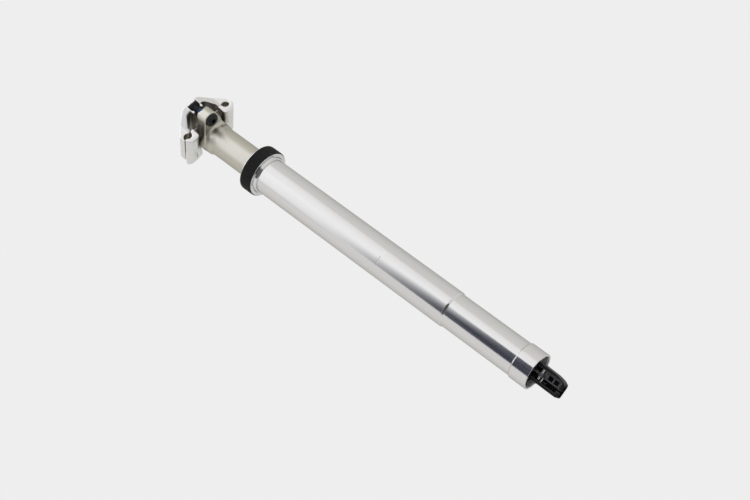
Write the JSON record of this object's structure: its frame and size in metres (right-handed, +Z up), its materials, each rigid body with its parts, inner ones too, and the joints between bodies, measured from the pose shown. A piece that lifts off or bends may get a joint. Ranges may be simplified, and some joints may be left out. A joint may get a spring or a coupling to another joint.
{
  "type": "dropper seatpost",
  "caption": "Telescopic bicycle seatpost: polished tube with a knurled collar, a sliding stanchion whose one-piece head carries a two-bolt saddle clamp, and a cable release lever.",
  "frame": {"origin": "on the post's axis at the underside of the flange, where it meets the rim of the frame's seat tube", "axes": "+Z up along the post, +X forward to the saddle's nose, +Y to the rider's left"},
  "size_m": [0.0566, 0.0544, 0.411],
  "materials": {
    "polished_aluminium": "polished",
    "forged_silver": "tumbled and polished",
    "champagne_anodised": "hard anodised satin",
    "black_anodised": "black anodised",
    "grey_anodised": "dark grey anodised",
    "black_steel": "black oxide",
    "bright_steel": "ground",
    "rubber": "matt",
    "foam": "oil soaked",
    "bushing": "matt",
    "brass": "machined",
    "inner_aluminium": "machined"
  },
  "bodies": {
    "lower_post": {"outer_tube": "polished_aluminium", "seal_collar": "black_anodised", "collar_o_ring": "rubber", "wiper_seal": "rubber", "foam_ring": "foam", "upper_bushing": "bushing", "base_plug": "inner_aluminium", "base_circlip": "bright_steel", "piston_rod": "bright_steel", "rod_nut": "bright_steel", "main_piston": "brass", "piston_seal": "rubber", "piston_nut": "bright_steel", "actuator_bracket": "black_anodised", "lever_pivot_pin": "bright_steel"},
    "upper_post": {"stanchion": "champagne_anodised", "lower_bushing": "bushing", "guide_keys": "brass", "cartridge_tube": "inner_aluminium", "cartridge_seal_head": "inner_aluminium", "rod_seal": "rubber", "cartridge_end_cap": "inner_aluminium", "cartridge_lock_ring": "bright_steel", "clamp_bolts": "black_steel", "cup_washers": "black_steel"},
    "saddle_clamp": {"lower_cradle": "forged_silver", "upper_clamp": "forged_silver"},
    "front_nut": {"front_barrel_nut": "black_steel"},
    "rear_nut": {"rear_barrel_nut": "black_steel"},
    "gas_piston": {"floating_piston": "brass", "floating_piston_seal": "rubber"},
    "valve_pin": {"release_pin": "bright_steel"},
    "lever": {"release_lever": "grey_anodised", "cable_barrel": "bright_steel"}
  },
  "joints": [
    {"name": "height", "type": "slide", "parent": "lower_post", "child": "upper_post", "axis": [0, 0, 1], "range_m": [-0.039, 0.128]},
    {"name": "saddle_tilt", "type": "hinge", "parent": "upper_post", "child": "saddle_clamp", "pos_m": [0.00251, 0, 0.0917], "axis": [0, 1, 0], "range_deg": [-12, 6]},
    {"name": "front_nut_slide", "type": "slide", "parent": "upper_post", "child": "front_nut", "axis": [0, 0, 1], "range_m": [-0.0026, 0.005]},
    {"name": "rear_nut_slide", "type": "slide", "parent": "upper_post", "child": "rear_nut", "axis": [0, 0, 1], "range_m": [-0.005, 0.0026]},
    {"name": "gas_piston_slide", "type": "slide", "parent": "upper_post", "child": "gas_piston", "axis": [0, 0, 1], "range_m": [-0.035, 0.012]},
    {"name": "release", "type": "slide", "parent": "lower_post", "child": "valve_pin", "axis": [0, 0, 1], "range_m": [0, 0.00094], "stiffness_N_per_m": 200, "springref_m": -0.002},
    {"name": "lever_swing", "type": "hinge", "parent": "lower_post", "child": "lever", "pos_m": [0.00212, -0.00113, -0.2906], "axis": [0.4695, 0.8829, 0], "range_deg": [-2.5, 22]}
  ],
  "couplings": [
    {"joint": "front_nut_slide", "follows": "saddle_tilt", "m_per_rad": -0.0212},
    {"joint": "rear_nut_slide", "follows": "saddle_tilt", "m_per_rad": 0.0212},
    {"joint": "gas_piston_slide", "follows": "height", "ratio": -0.263},
    {"joint": "lever_swing", "follows": "release", "rad_per_m": 333.33}
  ]
}
